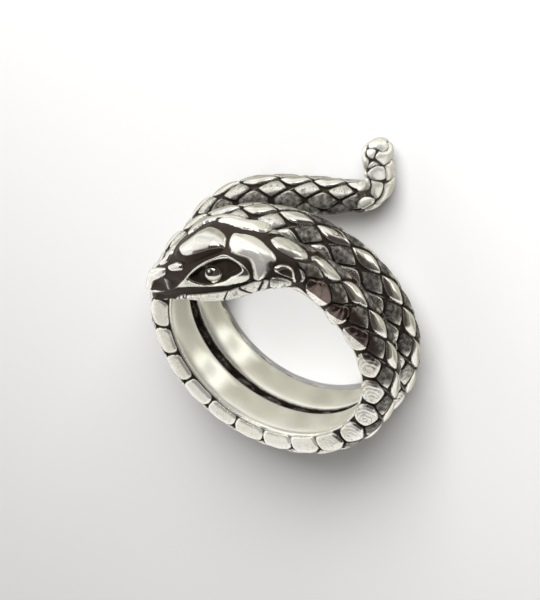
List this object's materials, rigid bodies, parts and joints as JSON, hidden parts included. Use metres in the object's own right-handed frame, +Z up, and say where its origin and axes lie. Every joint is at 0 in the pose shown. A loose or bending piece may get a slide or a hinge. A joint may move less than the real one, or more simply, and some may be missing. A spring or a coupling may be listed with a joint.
{
  "type": "snake finger ring",
  "caption": "Finger ring in the form of a scaled snake that winds nearly twice round the finger, with a raised plated head and a tail tip that bends outward.",
  "frame": {"origin": "middle of the finger hole on its axis, 6.5 mm above the floor that the ring lies on", "axes": "+Z up along the finger hole toward the head, -Y toward the viewer of the picture, +X to the viewer's right"},
  "size_m": [0.0236, 0.0305, 0.0183],
  "materials": {
    "silver": "polished silver with dark oxide left in the grooves between the scales"
  },
  "bodies": {
    "root": {"snake_ring": "silver"}
  },
  "joints": []
}
